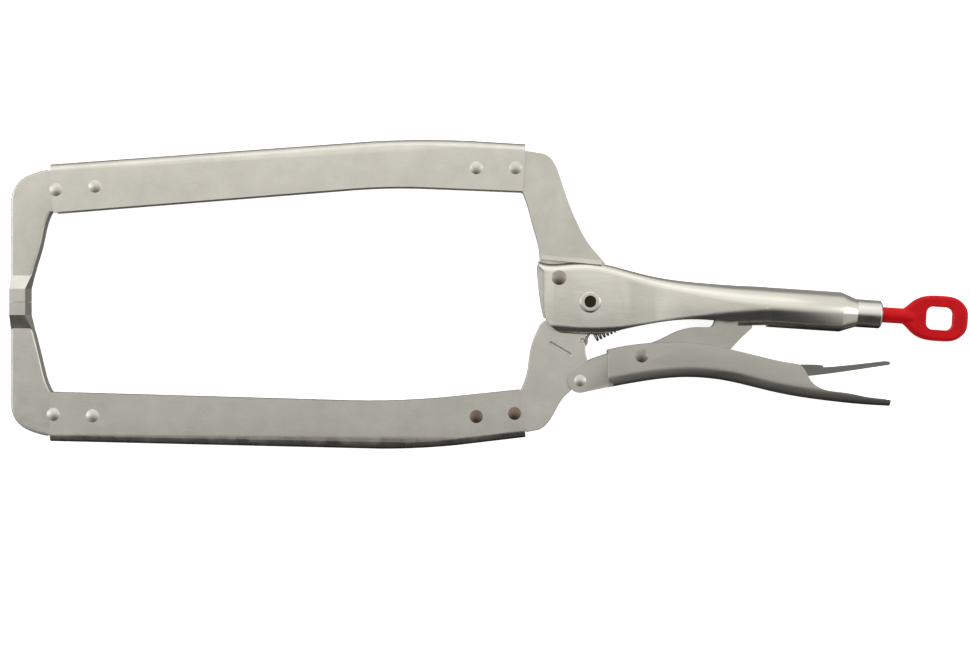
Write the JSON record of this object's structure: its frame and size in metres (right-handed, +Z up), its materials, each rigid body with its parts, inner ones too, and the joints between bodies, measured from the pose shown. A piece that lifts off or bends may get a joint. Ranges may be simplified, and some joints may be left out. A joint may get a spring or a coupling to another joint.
{
  "type": "locking c clamp",
  "caption": "Deep-throat locking C clamp with channel arms, forged jaws, toggle linkage, release lever and a red loop on its adjusting screw.",
  "frame": {"origin": "under the middle of the bounding box, on the surface the clamp lies on", "axes": "+X along the clamp from the jaw tips to the turning loop, +Y across it from the moving jaw's arm to the fixed jaw's arm, +Z up through its thickness"},
  "size_m": [0.4566, 0.1472, 0.019],
  "materials": {
    "plated_steel": "satin nickel plate",
    "rivet_steel": "satin nickel plate",
    "screw_steel": "bright threaded steel",
    "spring_steel": "spring steel wire",
    "red_loop": "red dipped coating"
  },
  "bodies": {
    "fixed_frame": {"upper_handle": "plated_steel", "threaded_sleeve": "plated_steel", "fixed_jaw_root": "plated_steel", "fixed_jaw_rivet": "rivet_steel", "jaw_weld": "plated_steel", "jaw_pivot_rivet": "rivet_steel", "upper_arm": "plated_steel", "upper_jaw_tip": "plated_steel", "upper_tip_rivets": "rivet_steel", "upper_root_rivets": "rivet_steel", "spring_anchor_pin": "rivet_steel", "return_spring": "spring_steel"},
    "moving_jaw": {"moving_jaw_root": "plated_steel", "lower_arm": "plated_steel", "lower_jaw_tip": "plated_steel", "lower_tip_rivets": "rivet_steel", "lower_root_rivets": "rivet_steel", "spring_hook_pin": "rivet_steel"},
    "lower_handle_body": {"lower_handle": "plated_steel", "lower_handle_rivet": "rivet_steel", "toggle_link_rivet": "rivet_steel", "lever_pin": "rivet_steel"},
    "toggle_link_body": {"toggle_link": "plated_steel"},
    "release_lever_body": {"release_lever": "plated_steel"},
    "screw_rod": {"adjusting_screw": "screw_steel"},
    "screw_loop": {"turning_loop": "red_loop"}
  },
  "joints": [
    {"name": "jaw_open", "type": "hinge", "parent": "fixed_frame", "child": "moving_jaw", "pos_m": [0.047, -0.00364, 0.0095], "axis": [0, 0, 1], "range_deg": [0, 38], "deforming": ["return_spring"]},
    {"name": "lower_handle_fold", "type": "hinge", "parent": "moving_jaw", "child": "lower_handle_body", "pos_m": [0.0422, -0.04104, 0.0095], "axis": [0, 0, 1], "range_deg": [-91.4, 0]},
    {"name": "toggle_fold", "type": "hinge", "parent": "lower_handle_body", "child": "toggle_link_body", "pos_m": [0.0714, -0.02924, 0.0095], "axis": [0, 0, 1], "range_deg": [0, 97.2]},
    {"name": "release_press", "type": "hinge", "parent": "lower_handle_body", "child": "release_lever_body", "pos_m": [0.1305, -0.03684, 0.0095], "axis": [0, 0, 1], "range_deg": [-6, 0]},
    {"name": "screw_travel", "type": "slide", "parent": "fixed_frame", "child": "screw_rod", "axis": [0.9978, -0.0663, 0], "range_m": [0, 0.02]},
    {"name": "loop_turn", "type": "hinge", "parent": "screw_rod", "child": "screw_loop", "pos_m": [0.18688, -0.00972, 0.0095], "axis": [0.9978, -0.0663, 0], "range_deg": [0, 5788]}
  ],
  "couplings": [
    {"joint": "lower_handle_fold", "follows": "jaw_open", "ratio": -2.4},
    {"joint": "toggle_fold", "follows": "jaw_open", "ratio": 2.55},
    {"joint": "loop_turn", "follows": "screw_travel", "rad_per_m": 5026.6}
  ]
}
